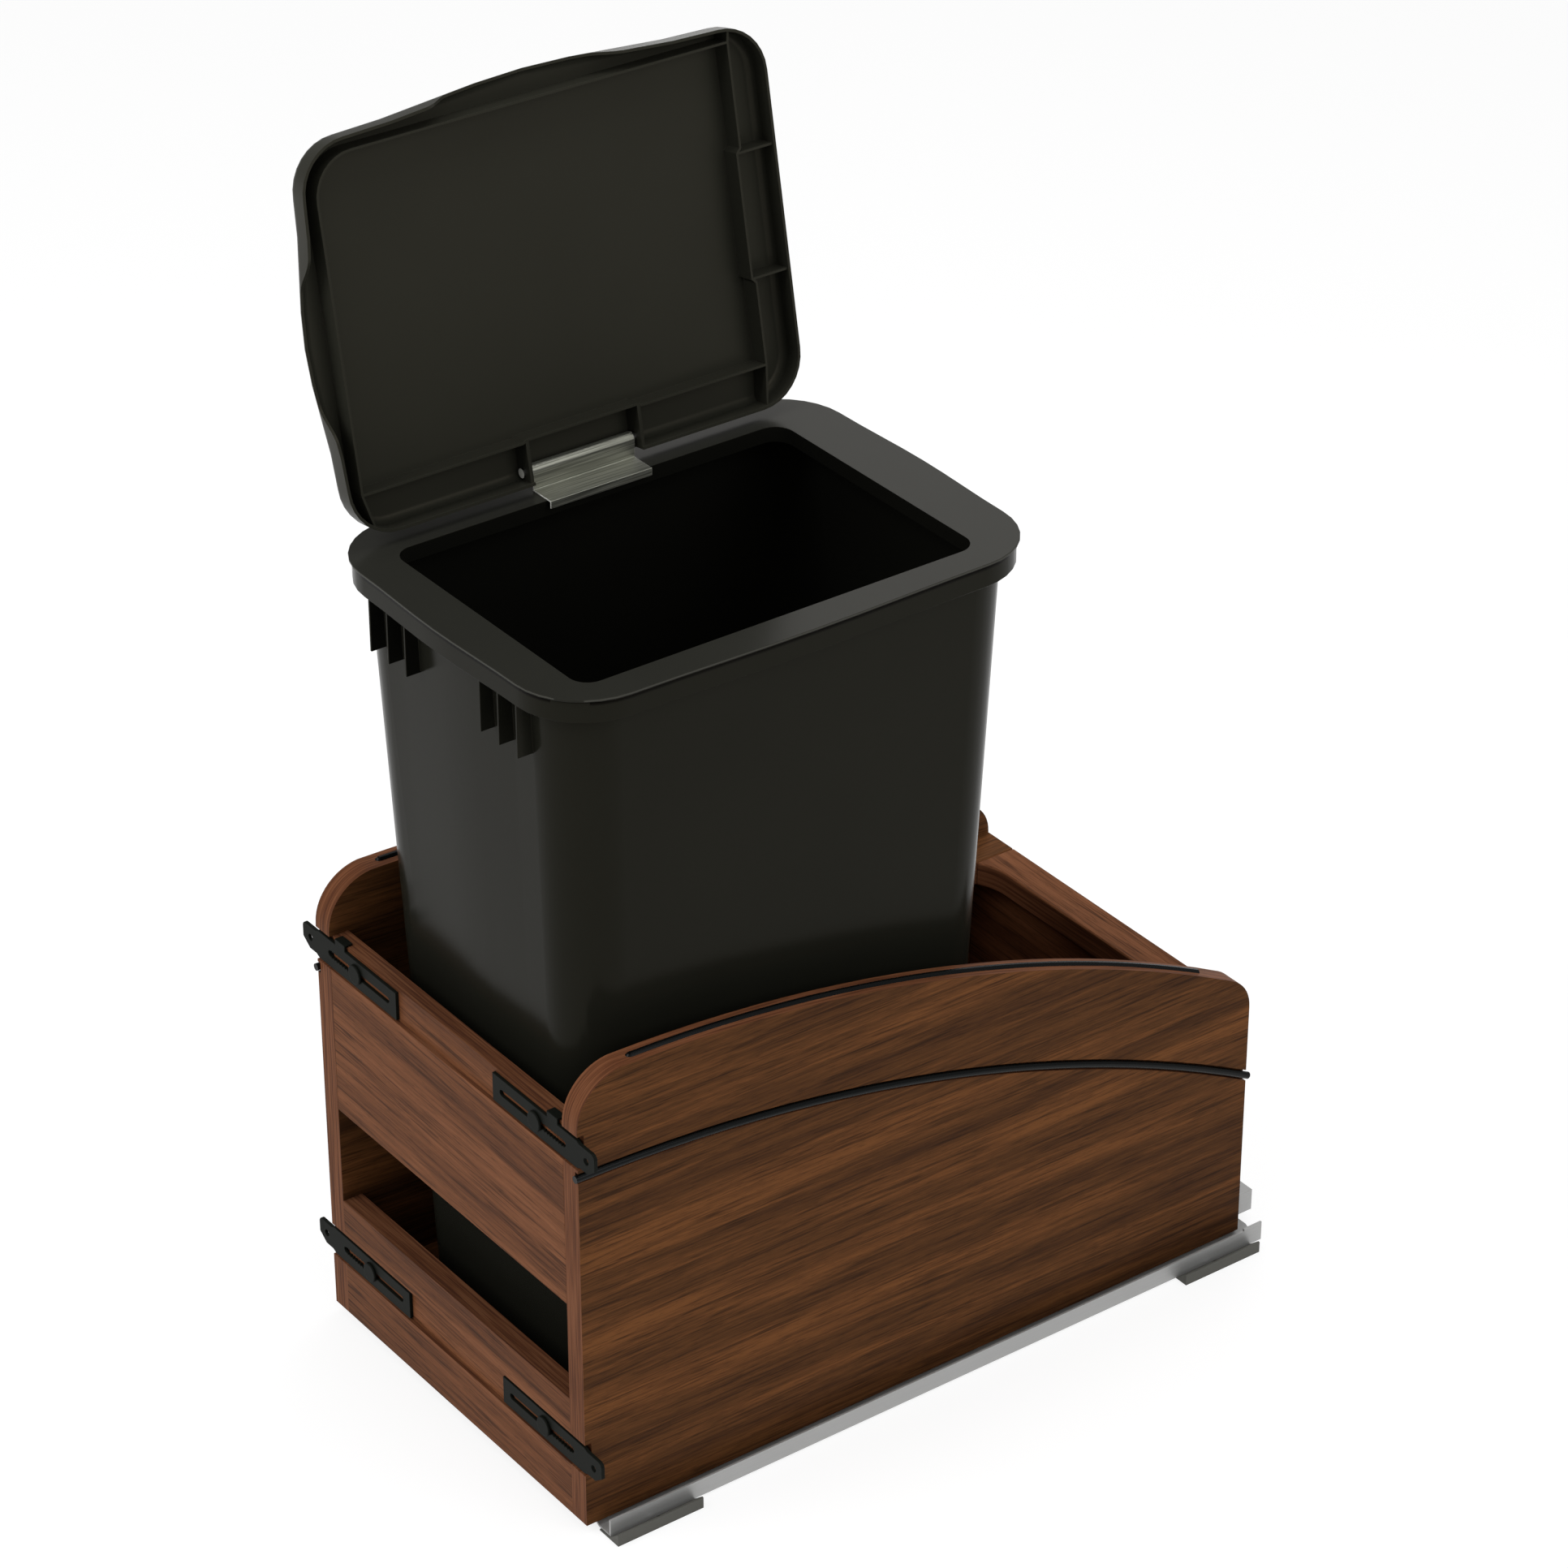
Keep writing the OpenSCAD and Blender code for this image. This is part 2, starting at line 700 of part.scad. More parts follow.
// A foot: plate under the rail's flange, with a wedge outside the wall
module foot(side, y, length, screw_y) {
  color(foot_grey) handed(side) difference() {
    along_y(y, length) polygon([[half_w + foot_lip, 0], [wall_x + foot_w, 0], [wall_x + foot_w, foot_h],
      [wall_x + foot_w - foot_lip, foot_h], [wall_x, foot_plate_t], [half_w + foot_lip, foot_plate_t]]);
    translate([wall_x + foot_hole_in, screw_y, -over]) {
      cylinder(r = foot_hole_d / 2, h = foot_h + 2 * over, $fn = round_fn);
      translate([0, 0, foot_seat_z + over]) cylinder(r = foot_seat_r, h = foot_h, $fn = round_fn);
    }
    for (p = rivet_places)
      translate([rivet_x, p, -over]) cylinder(r = rivet_r + fit, h = foot_h, $fn = round_fn);
  }
}

module foot_rivets() {
  color(zinc) for (side = [-1, 1]) handed(side) for (p = rivet_places) translate([rivet_x, p, 0]) {
    cylinder(r = rivet_r, h = foot_plate_t + sheet_t + over, $fn = round_fn);
    translate([0, 0, foot_plate_t + sheet_t]) cylinder(r = rivet_head_r, h = rivet_head_t, $fn = round_fn);
  }
}

module intermediate_member(side) {
  core_h = member_h - 2 * (sheet_t + cage_web + 2 * gap);
  color(zinc) handed(side) translate([slide_x, 0, member_mid_z])
    along_y(race_front + member_gap, race_rear - race_front - 2 * member_gap) {
      for (s = [-1, 1])
        translate([s * (core_half - core_t / 2) - core_t / 2, -core_h / 2]) square([core_t, core_h]);
      translate([-core_half, -core_t / 2]) square([2 * core_half, core_t]);
    }
}

// A cage is drawn for the lower race and turned over for the upper one
module ball_cage(side, upper) {
  strip_x = core_half + race_gap / 2;
  strip_h = race_h - lip_t - sheet_t - 2 * gap;
  ball_z = strip_h / 2 + cage_web / 2;
  color(steel) handed(side) translate([slide_x, cage_front, member_mid_z]) rotate([0, upper ? 180 : 0, 0])
    translate([0, 0, sheet_t + gap - member_h / 2]) {
      translate([-strip_x, 0, 0]) cube([2 * strip_x, cage_l, cage_web]);
      for (s = [-1, 1]) {
        translate([s * strip_x - cage_t / 2, 0, 0]) cube([cage_t, cage_l, strip_h]);
        for (i = [0:balls - 1])
          translate([s * strip_x, ball_pitch * (i + 1 / 4), ball_z]) sphere(r = ball_d / 2, $fn = round_fn);
      }
    }
}

member_screw_places = [for (side = [-1, 1]) for (share = [0.12, 0.5, 0.88])
  [side * slide_x, race_front + (race_rear - race_front) * share]];

module drawer_member(side) {
  color(zinc) handed(side) difference() {
    translate([slide_x, 0, member_top]) mirror([0, 0, 1]) along_y(race_front, race_rear - race_front) {
      translate([-member_half, 0]) square([member_w, sheet_t]);
      race_section();
    }
    for (p = member_screw_places) if (p[0] > 0) translate([p[0], p[1], member_top - sheet_t]) {
      translate([0, 0, -over]) cylinder(r = screw_r + fit, h = sheet_t + 2 * over, $fn = round_fn);
      screw_head(fit);
    }
  }
}

// A countersunk head flush with the underside of the member
module screw_head(grow) {
  cylinder(r1 = screw_head_r + grow, r2 = screw_r + grow, h = screw_head_t, $fn = round_fn);
}

module member_screws() {
  color(zinc) for (p = member_screw_places) translate([p[0], p[1], member_top - sheet_t]) {
    screw_head(0);
    cylinder(r = screw_r, h = screw_l, $fn = round_fn);
  }
}

module rear_hook(side) {
  color(zinc) handed(side) difference() {
    translate([slide_x - hook_in, frame_d, hook_z]) cube([hook_in + hook_out, hook_l, hook_h]);
    translate([slide_x - hook_in + sheet_t, frame_d - over, hook_z - over])
      cube([hook_in + hook_out - 2 * sheet_t, hook_l + 2 * over, hook_h - sheet_t + over]);
  }
}

// Bin

function bin_ring(inset, r, z) = ring(bowed(
  inset - collar_w / 2, collar_w / 2 - inset, bin_y - collar_l / 2 + inset, bin_y + collar_l / 2 - inset,
  r, [collar_bow, collar_bow, collar_bow, collar_bow]), z);

// The body's outline at a height, drawn in by its taper and by inset
function body_ring(inset, r, z) =
  let (d = inset + bin_taper * (body_top_z - min(z, body_top_z)) / (body_top_z - bin_z))
  ring(bowed(body_side + d - collar_w / 2, collar_w / 2 - body_side - d,
    collar_front + body_front + d, collar_front + collar_l - body_rear - d,
    r, [body_bow, body_bow, body_bow, body_bow]), z);

skirt_inset = collar_over;
body_top_z = rim_top - skirt_h;

module bin() {
  foot_top = bin_z + foot_band;
  inner_r = body_r - bin_wall;
  color(charcoal) difference() {
    union() {
      // Tapered body on a slightly narrower foot
      loft([body_ring(bin_wall, foot_r, bin_z), body_ring(bin_wall, foot_r, foot_top),
        body_ring(0, foot_r, foot_top + bin_wall), body_ring(0, body_r, body_top_z),
        body_ring(0, body_r, rim_top)]);
      // Rim flange and skirt
      difference() {
        loft([bin_ring(skirt_inset, collar_r, body_top_z),
          bin_ring(skirt_inset, collar_r, rim_top - 2 * seam),
          bin_ring(skirt_inset + seam, collar_r, rim_top - seam)]);
        loft([bin_ring(skirt_inset + bin_wall, collar_r - bin_wall, body_top_z - over),
          bin_ring(skirt_inset + bin_wall, collar_r - bin_wall, rim_top - seam - bin_wall)]);
      }
      // Fins under the rim on the front
      for (g = [0:fin_groups - 1]) translate([fin_first_x + g * fin_group_pitch, 0, 0]) fin_group();
    }
    loft([body_ring(2 * bin_wall, foot_r - bin_wall, foot_top + bin_wall),
      body_ring(bin_wall, inner_r, body_top_z), body_ring(bin_wall, inner_r, rim_top + over)]);
  }
}

// Upright fins that tie the skirt to the body
module fin_group() {
  front = collar_front + skirt_inset + fin_set;
  drop_share = fin_drop / (body_top_z - bin_z);
  back = collar_front + body_front + bin_taper * drop_share + bin_wall / 2;
  translate([0, 0, body_top_z - fin_drop]) linear_extrude(fin_drop + skirt_h / 2) {
    for (i = [0:fin_count - 1]) translate([i * fin_pitch, front]) square([fin_t, back - front]);
  }
}

module mouth_outline(grow) {
  translate([mouth_shift, 0]) polygon(bowed(-mouth_w / 2 - grow, mouth_w / 2 + grow,
    mouth_front - grow, mouth_front + mouth_l + grow, mouth_r + grow, [0, 0, 0, 0]));
}

module bin_collar() {
  color(charcoal) difference() {
    union() {
      loft([bin_ring(seam, collar_r, rim_top), bin_ring(0, collar_r, rim_top + seam),
        bin_ring(0, collar_r, collar_top - seam / 2), bin_ring(seam / 2, collar_r, collar_top)]);
      translate([0, 0, rim_top - mouth_lip]) linear_extrude(mouth_lip + over) mouth_outline(mouth_lip_t);
    }
    translate([0, 0, rim_top - mouth_lip - over])
      linear_extrude(mouth_lip + collar_t + 2 * over) mouth_outline(0);
  }
}

// Hinge and lid

module hinge_clip() {
  flange_end = hinge_inset + clip_reach;
  foot_z = -pin_h;
  color(steel) translate([hinge_x, 0, hinge_z]) along_y(hinge_y - clip_l / 2, clip_l) {
    // Curl over the pin
    difference() {
      circle(r = curl_out, $fn = round_fn);
      circle(r = curl_in, $fn = round_fn);
      translate([-2 * curl_out, -2 * curl_out]) square([4 * curl_out, 2 * curl_out]);
    }
    translate([-curl_out, -curl_lip]) square([clip_t, curl_lip]);
    // Upright, flange on the collar and lip over its inner edge
    translate([curl_in, foot_z]) square([clip_t, -foot_z]);
    translate([curl_in, foot_z]) square([flange_end - curl_in, clip_t]);
    translate([flange_end - clip_t, foot_z - clip_drop]) square([clip_t, clip_drop + clip_t]);
  }
}

pocket_in = clip_l / 2 + pocket_gap;
pin_half = pocket_in + pocket_t + pin_over;

module hinge_pin() {
  color(steel) translate([hinge_x, hinge_y - pin_half, hinge_z]) rotate([-90, 0, 0])
    cylinder(r = pin_d / 2, h = 2 * pin_half, $fn = round_fn);
}

lid_far = lid_back + lid_w;
lid_y0 = lid_front_y;
lid_y1 = lid_front_y + lid_l;

function lid_ring(inset, z) = ring(bowed(lid_back + inset, lid_far - inset, lid_y0 + inset, lid_y1 - inset,
  lid_r - inset, [0, lid_bow, lid_bow, 0]), z);
function lid_skin(inset, bottom, top, edge_r) = concat(
  [lid_ring(inset, bottom), lid_ring(inset + lid_draft, top - edge_r)],
  [for (a = [22.5:22.5:90])
    lid_ring(inset + lid_draft + edge_r * (1 - cos(a)), top - edge_r * (1 - sin(a)))]);

// A scoop's outline along the skirt, from a to b, with rounded ramps
function scoop(a, b) = concat([[a, -over]],
  [for (i = [0:bow_steps]) let (t = i / bow_steps) [a + scoop_ramp * t, scoop_d * (1 - cos(180 * t)) / 2]],
  [for (i = [0:bow_steps]) let (t = i / bow_steps)
    [b - scoop_ramp * (1 - t), scoop_d * (1 + cos(180 * t)) / 2]],
  [[b, -over]]);

module lid_ribs() {
  front = lid_y0 + rib_inset_front;
  rear = lid_y1 - rib_inset_rear;
  hinge = lid_back + rib_inset_hinge;
  far = lid_far - rib_inset_far;
  cross_a = lid_back + lid_w * cross_shares[0];
  cross_b = lid_back + lid_w * cross_shares[1];
  pocket_a = hinge_y - pocket_in - pocket_t / 2;
  pocket_b = hinge_y + pocket_in + pocket_t / 2;
  rib_bottom = lid_rim + rib_recess;
  bend = [for (i = [0:arc_steps]) let (a = 90 * i / arc_steps)
    [far - rib_corner_r + rib_corner_r * cos(a - 90), front + rib_corner_r + rib_corner_r * sin(a - 90)]];
  translate([0, 0, rib_bottom]) linear_extrude(lid_top - lid_wall / 2 - rib_bottom) {
    polygon(band(concat([[hinge, front]], bend, [[far, rear]]), rib_t));
    polygon(band([[lid_back + lid_wall / 2, front + rib_inset_hinge / 4], [hinge, front]], rib_t));
    polygon(band([[hinge, front], [hinge, pocket_a - rib_jog], [hinge + rib_jog / 2, pocket_a],
      [hinge + rib_jog / 2, pocket_b], [hinge, pocket_b + rib_jog], [hinge, rear]], rib_t));
    polygon(band([[far + rib_inset_far, rear + rib_jog / 2], [far, rear], [cross_b + rib_jog, rear],
      [cross_b, rear - rib_jog], [cross_a, rear - rib_jog], [cross_a - rib_jog, rear], [hinge, rear],
      [lid_back + lid_wall / 2, rear - rib_jog]], rib_t));
    for (x = [cross_a, cross_b]) polygon(band([[x, rear - rib_jog], [x, lid_y1 - lid_wall / 2]], rib_t));
    for (y = [pocket_a, pocket_b])
      polygon(band([[lid_back + lid_wall / 2, y], [hinge + rib_jog / 2, y]], pocket_t));
  }
}

cross_shares = [0.345, 0.675];

module lid() {
  notch_l = 2 * pocket_in;
  color(charcoal) translate([hinge_x, 0, hinge_z]) rotate([0, -lid_angle, 0]) difference() {
    union() {
      difference() {
        loft(lid_skin(0, lid_rim, lid_top, lid_edge_r));
        loft(lid_skin(lid_wall, lid_rim - over, lid_top - lid_wall, lid_edge_r - lid_wall));
      }
      intersection() {
        lid_ribs();
        loft(lid_skin(0, lid_rim, lid_top, lid_edge_r));
      }
    }
    // Finger scoops in the front and far skirts
    translate([0, 0, lid_rim]) along_y(lid_y0 - lid_bow - over, lid_bow + rib_inset_front / 2 + over)
      polygon(scoop(lid_back + scoop_front_from, lid_back + scoop_front_to));
    translate([0, 0, lid_rim]) along_x(lid_far - rib_inset_far / 2, lid_bow + rib_inset_far + over)
      polygon(scoop(lid_y0 + scoop_far_from, lid_y0 + scoop_far_to));
    // Bore for the pin and notch for the clip
    translate([0, hinge_y - pin_half - over, 0]) rotate([-90, 0, 0])
      cylinder(r = pin_d / 2 + pin_fit, h = 2 * (pin_half + over), $fn = round_fn);
    translate([lid_back - over, hinge_y - pocket_in, lid_rim - over])
      cube([lid_wall + 2 * over, notch_l, over - lid_rim - stop_drop]);
  }
}

placed() cabinet_rail(1);  // cabinet_rail_right
placed() cabinet_rail(-1);  // cabinet_rail_left
placed() foot(1, foot_front_y, foot_front_l, screws_front_y);  // foot_front_right
placed() foot(-1, foot_front_y, foot_front_l, screws_front_y);  // foot_front_left
placed() foot(1, foot_rear_y, foot_rear_l, screws_rear_y);  // foot_rear_right
placed() foot(-1, foot_rear_y, foot_rear_l, screws_rear_y);  // foot_rear_left
placed() foot_rivets();
placed() ball_cage(1, false);  // lower_ball_cage_right
placed() ball_cage(-1, false);  // lower_ball_cage_left
placed() intermediate_member(1);  // intermediate_member_right
placed() intermediate_member(-1);  // intermediate_member_left
placed() ball_cage(1, true);  // upper_ball_cage_right
placed() ball_cage(-1, true);  // upper_ball_cage_left
placed() drawer_member(1);  // drawer_member_right
placed() drawer_member(-1);  // drawer_member_left
placed() rear_hook(1);  // rear_hook_right
placed() rear_hook(-1);  // rear_hook_left
placed() side_panel(1);  // side_panel_right
placed() side_panel(-1);  // side_panel_left
placed() upper_front_panel();
placed() lower_front_panel();
placed() rear_panel();
placed() floor_board();
placed() rear_rail();
placed() corner_block(1);  // corner_block_right
placed() corner_block(-1);  // corner_block_left
placed() edge_rail(1);  // edge_rail_right
placed() edge_rail(-1);  // edge_rail_left
placed() side_rod(1);  // side_rod_right
placed() side_rod(-1);  // side_rod_left
placed() door_bracket(1, upper_channel_z + bracket_rise, true);  // door_bracket_upper_right
placed() door_bracket(-1, upper_channel_z + bracket_rise, true);  // door_bracket_upper_left
placed() door_bracket(1, lower_channel_z + bracket_rise, false);  // door_bracket_lower_right
placed() door_bracket(-1, lower_channel_z + bracket_rise, false);  // door_bracket_lower_left
placed() bracket_screws();
placed() member_screws();
placed() bin();
placed() bin_collar();
placed() hinge_clip();
placed() hinge_pin();
placed() lid();
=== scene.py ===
import json
import math

import bmesh
import bpy
from mathutils import Matrix, Vector


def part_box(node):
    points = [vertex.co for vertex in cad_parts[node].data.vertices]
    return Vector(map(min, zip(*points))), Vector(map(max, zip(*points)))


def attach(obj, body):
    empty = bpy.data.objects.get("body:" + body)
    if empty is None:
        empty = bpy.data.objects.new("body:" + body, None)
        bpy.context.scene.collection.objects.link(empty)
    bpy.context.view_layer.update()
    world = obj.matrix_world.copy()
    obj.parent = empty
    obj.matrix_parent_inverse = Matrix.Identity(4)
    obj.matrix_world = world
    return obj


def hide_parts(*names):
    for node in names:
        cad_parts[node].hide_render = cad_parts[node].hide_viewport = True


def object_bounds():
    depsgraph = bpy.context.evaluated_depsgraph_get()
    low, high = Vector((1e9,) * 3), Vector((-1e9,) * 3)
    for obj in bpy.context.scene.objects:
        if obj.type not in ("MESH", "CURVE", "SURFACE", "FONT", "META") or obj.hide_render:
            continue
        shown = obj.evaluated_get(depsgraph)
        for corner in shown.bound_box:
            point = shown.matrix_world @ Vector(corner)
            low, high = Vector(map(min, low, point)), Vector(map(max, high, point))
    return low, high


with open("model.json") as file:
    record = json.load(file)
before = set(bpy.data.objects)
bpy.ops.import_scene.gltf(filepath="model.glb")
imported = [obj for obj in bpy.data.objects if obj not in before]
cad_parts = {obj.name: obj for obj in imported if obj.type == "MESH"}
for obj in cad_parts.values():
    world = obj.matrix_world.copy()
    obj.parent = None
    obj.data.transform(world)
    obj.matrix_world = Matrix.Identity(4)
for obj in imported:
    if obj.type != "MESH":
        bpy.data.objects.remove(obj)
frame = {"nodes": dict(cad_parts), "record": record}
cad_low, cad_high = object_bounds()
NODES = frame["nodes"]

# One millimetre in the frame's metres
MM = 0.001

# In a piece's mesh, points nearer than this in millimetres are one point
MERGE = 0.002
# Faces within this many degrees of each other are one flat face
FLAT = 0.6
# Edges up to this many degrees are shaded as one curve
SMOOTH = 28
# Edges sharper than this many degrees get a radius, in this many steps
ROUNDED = 38
RADIUS_STEPS = 2

# The left front foot is this many millimetres shorter than its solid, and its front end, which moves
# back for that, is this long
FOOT_SHORTER = 7
FOOT_END = 9.5

# The painted shadow in the shut line under the bin's collar, and the painted highlight along the collar's
# edge over it, in
# millimetres: how far below the rim's top the shadow's middle runs, how far above the top the highlight's
# does, half the width of each, and how deep into the rim they are drawn from outside, so that the mouth's
# inner lip stays plain
GAP_SHADOW_DROP = 1.3
GAP_SHADOW_HALF = 1.4
EDGE_HIGHLIGHT_RISE = 1.4
EDGE_HIGHLIGHT_HALF = 0.4
RIM_DEPTH = 9.8
# Faces painted with shade inside the bin look at the bin's middle from at least this many millimetres away
INNER_REACH = 20


# Helpers for the materials

def srgb(code):
    """Turns an sRGB hex colour into the linear values that the shaders mix."""
    def channel(text):
        v = int(text, 16) / 255
        return v / 12.92 if v <= 0.04045 else ((v + 0.055) / 1.055) ** 2.4
    return (channel(code[1:3]), channel(code[3:5]), channel(code[5:7]), 1.0)


def shaded(code, share):
    """A hex colour with a share of its light."""
    return tuple(value * share for value in srgb(code)[:3]) + (1.0,)


def add(tree, kind, inputs=None, stops=(), **settings):
    """Adds a node. Settings are its own properties. Inputs are values, hex colours, sockets, or nodes,
    which give their first live output. Stops are the places and hex colours of a colour ramp."""
    made = tree.nodes.new(kind)
    for name, value in settings.items():
        setattr(made, name, value)
    for name, value in (inputs or {}).items():
        socket = made.inputs[name]
        if isinstance(value, bpy.types.Node):
            value = next(output for output in value.outputs if output.enabled)
        if isinstance(value, bpy.types.NodeSocket):
            tree.links.new(value, socket)
        else:
            socket.default_value = srgb(value) if isinstance(value, str) else value
    while stops and len(made.color_ramp.elements) < len(stops):
        made.color_ramp.elements.new(0.5)
    for number, (place, code) in enumerate(stops):
        made.color_ramp.elements[number].position = place
        made.color_ramp.elements[number].color = srgb(code)
    return made


def start(name):
    """A material, its empty tree, and the coordinates of the piece that wears it."""
    material = bpy.data.materials.new(name)
    material.use_nodes = True
    tree = material.node_tree
    tree.nodes.clear()
    place = add(tree, "ShaderNodeTexCoord").outputs["Object"]
    return material, tree, place


def patches(tree, place, size, detail, roughness=0.5, bend=0.0, turn=(0, 0, 0), shift=(0, 0, 0)):
    """Cloudy patches of a size in millimetres along X, Y and Z, turned by degrees and shifted."""
    angles = [math.radians(angle) for angle in turn]
    turned = add(tree, "ShaderNodeMapping", {"Vector": place, "Rotation": angles, "Location": shift})
    scaled = add(tree, "ShaderNodeMapping", {"Vector": turned, "Scale": [1 / (s * MM) for s in size]})
    return add(tree, "ShaderNodeTexNoise", {
        "Vector": scaled, "Scale": 1.0, "Detail": detail, "Roughness": roughness, "Distortion": bend})


def facing(tree, axis, limit=0.6):
    """One where the surface faces along the axis, either way, and nothing elsewhere."""
    normal = add(tree, "ShaderNodeNewGeometry").outputs["Normal"]
    turned = add(tree, "ShaderNodeSeparateXYZ", {"Vector": normal}).outputs[axis]
    either_way = add(tree, "ShaderNodeMath", {0: turned}, operation="ABSOLUTE")
    return add(tree, "ShaderNodeMath", {0: either_way, 1: limit}, operation="GREATER_THAN")


# Walnut

def walnut(name, grain, face, face_stops, edge_stops, tilt=(0, 0, 0), shift=(0, 0, 0)):
    """Walnut with its grain along one axis and its faces across another, under a thin satin lacquer. The
    eye sees broad heartwood bands, the finer figure in them, dark streaks and threads, and short pores.
    The edges show thin layers: the plies of the boards, or the rings of the solid rail."""
    material, tree, place = start(name)

    def fibres(width, length, detail, roughness, bend=0.0, offset=(0, 0, 0)):
        """Marks of one width and one length along the grain, in millimetres."""
        size = [length if axis == grain else width for axis in "XYZ"]
        moved = [a + b for a, b in zip(shift, offset)]
        return patches(tree, place, size, detail, roughness, bend, tilt, moved)

    bands = fibres(26, 640, detail=1.0, roughness=0.5, bend=0.3)
    figure = fibres(4.2, 120, detail=3.0, roughness=0.6, bend=0.7, offset=(0.31, 0.17, 0.23))
    streaks = fibres(1.3, 30, detail=3.0, roughness=0.7, bend=0.4, offset=(0.11, 0.37, 0.05))
    threads = fibres(1.0, 48, detail=2.0, roughness=0.6, bend=0.3, offset=(0.21, 0.13, 0.41))
    # Real pores are 0.2 mm wide and 3 mm long, too fine to show, so they are drawn four times as coarse
    pores = fibres(0.8, 12, detail=2.0, roughness=0.6, offset=(0.07, 0.02, 0.29))

    # The tone comes mostly from the bands, then from the figure, then from the streaks
    fine = add(tree, "ShaderNodeMath", {0: streaks, 1: 0.25}, operation="MULTIPLY")
    finer = add(tree, "ShaderNodeMath", {0: figure, 1: 0.35, 2: fine}, operation="MULTIPLY_ADD")
    tone = add(tree, "ShaderNodeMath", {0: bands, 1: 0.40, 2: finer}, operation="MULTIPLY_ADD")
    veneer = add(tree, "ShaderNodeValToRGB", {"Fac": tone}, face_stops)

    # Dark threads run in groups, where the figure itself is dark
    group = add(tree, "ShaderNodeMapRange", {"Value": figure, "From Min": 0.56, "From Max": 0.435})
    thread = add(tree, "ShaderNodeMapRange", {
        "Value": threads, "From Min": 0.50, "From Max": 0.611, "To Max": 0.6})
    both = add(tree, "ShaderNodeMath", {0: group, 1: thread}, operation="MULTIPLY")
    veneer = add(tree, "ShaderNodeMix", {"Factor": both, "A": veneer, "B": "#281910"}, data_type="RGBA")

    # Pores are dark and sunk
    pore = add(tree, "ShaderNodeMapRange", {"Value": pores, "From Min": 0.57, "From Max": 0.713})
    shade = add(tree, "ShaderNodeMath", {0: pore, 1: 0.45}, operation="MULTIPLY")
    veneer = add(tree, "ShaderNodeMix", {"Factor": shade, "A": veneer, "B": "#2a1a10"}, data_type="RGBA")
    raised = add(tree, "ShaderNodeMath", {0: streaks, 1: 0.35}, operation="MULTIPLY")
    relief = add(tree, "ShaderNodeMath", {0: pore, 1: -0.5, 2: raised}, operation="MULTIPLY_ADD")

    # Layers 1.5 mm thick run along every edge
    layer = [1.5 if axis == face else 70 for axis in "XYZ"]
    layers = patches(tree, place, layer, detail=3.0, roughness=0.65, shift=shift)
    edge = add(tree, "ShaderNodeValToRGB", {"Fac": layers}, edge_stops)
    on_face = facing(tree, face)
    shader = add(tree, "ShaderNodeBsdfPrincipled", {
        "Base Color": add(tree, "ShaderNodeMix", {
            "Factor": on_face, "A": edge, "B": veneer}, data_type="RGBA"),
        "Roughness": add(tree, "ShaderNodeMapRange", {"Value": streaks, "To Min": 0.36, "To Max": 0.52}),
        "Normal": add(tree, "ShaderNodeBump", {"Strength": 0.28, "Distance": 0.12 * MM, "Height": relief}),
        "Specular IOR Level": 0.03,
    })
    add(tree, "ShaderNodeOutputMaterial", {"Surface": shader})
    return material


SIDE_STOPS = (
    (0.38, "#412919"), (0.45, "#4f321d"), (0.50, "#593920"), (0.55, "#643f24"), (0.62, "#764b2a"))
FRONT_STOPS = (
    (0.38, "#573623"), (0.45, "#643e28"), (0.50, "#6e452c"), (0.55, "#784c32"), (0.62, "#84563a"))
EDGE_STOPS = ((0.38, "#563423"), (0.50, "#6c432c"), (0.62, "#7c5037"))
FRONT_EDGE_STOPS = ((0.38, "#4a2d20"), (0.50, "#5f3b27"), (0.62, "#704a33"))

# Veneered plywood of the side panels: dark brown bands, a little off level as each sheet was laid
side_walnut = walnut("walnut_veneer_side", "Y", "X", SIDE_STOPS, EDGE_STOPS, tilt=(0.5, 0, 0))
side_walnut_left = walnut(
    "walnut_veneer_side_left", "Y", "X", SIDE_STOPS, EDGE_STOPS, tilt=(3, 0, 0), shift=(0.9, 0.4, 0.2))
# Veneered plywood of the front and rear panels: redder and paler, with its grain across the unit
front_walnut = walnut(
    "walnut_veneer_front", "X", "Y", FRONT_STOPS, FRONT_EDGE_STOPS, tilt=(0, -1.5, 0), shift=(0.2, 0, 0.5))
# Planed solid rail behind the bin: in the front's colours, with its figure on the upper and lower faces
rail_walnut = walnut("walnut_solid_rail", "X", "Z", FRONT_STOPS, EDGE_STOPS, shift=(0.5, 0.2, 0.1))
# Floor board and corner blocks: in the sides' colours, with the figure on the upper and lower faces
board_walnut = walnut("walnut_veneer_board", "Y", "Z", SIDE_STOPS, EDGE_STOPS, shift=(0.3, 0.6, 0.4))


# Plastics and coatings

